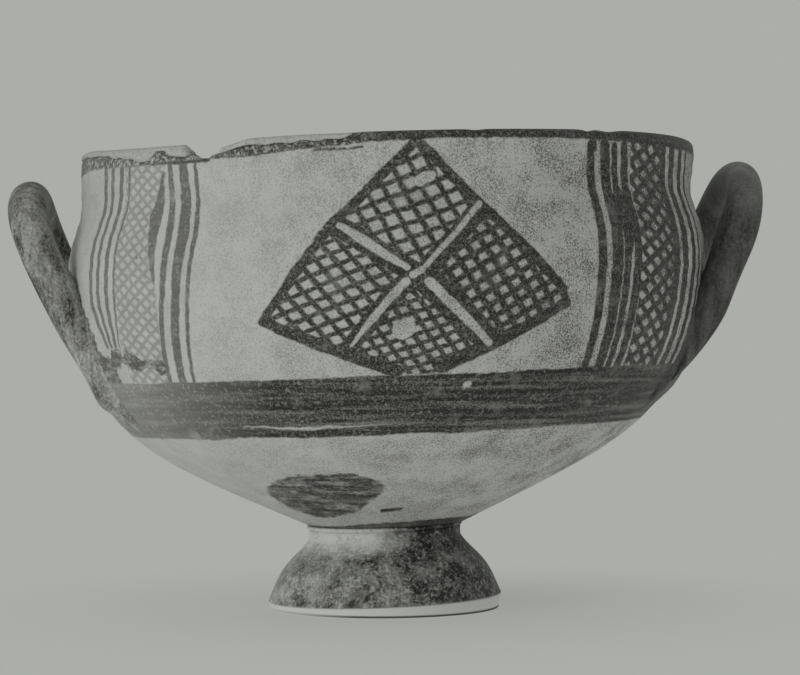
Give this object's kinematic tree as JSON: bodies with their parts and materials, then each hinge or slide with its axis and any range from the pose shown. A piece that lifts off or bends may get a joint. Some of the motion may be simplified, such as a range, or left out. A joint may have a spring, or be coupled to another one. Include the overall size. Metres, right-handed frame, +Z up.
{
  "type": "skyphos cup",
  "caption": "Footed clay drinking cup with a deep round bowl, upright lip, hollow conical foot and a pair of raised loop handles, painted with dark bands and a hatched lozenge.",
  "frame": {"origin": "on the table under the foot's middle, which is also the middle of the part's box seen from above", "axes": "+Z up, +X along the line through the two handles towards the right one, -Y towards the painted front"},
  "size_m": [0.1962, 0.1668, 0.1213],
  "materials": {
    "painted_clay": "smoothed fired clay with a dark painted pattern, worn",
    "slipped_clay": "fired clay under dark slip, rubbed and mottled",
    "luting_slip": "fired slip, wiped smooth",
    "plaster": "smoothed modelling plaster, matt"
  },
  "bodies": {
    "root": {"bowl": "painted_clay", "foot": "slipped_clay", "handle_left": "slipped_clay", "handle_right": "slipped_clay", "foot_luting": "luting_slip", "handle_left_front_luting": "luting_slip", "handle_left_rear_luting": "luting_slip", "handle_right_front_luting": "luting_slip", "handle_right_rear_luting": "luting_slip", "rim_fill_left": "plaster", "rim_fill_front": "plaster"}
  },
  "joints": []
}
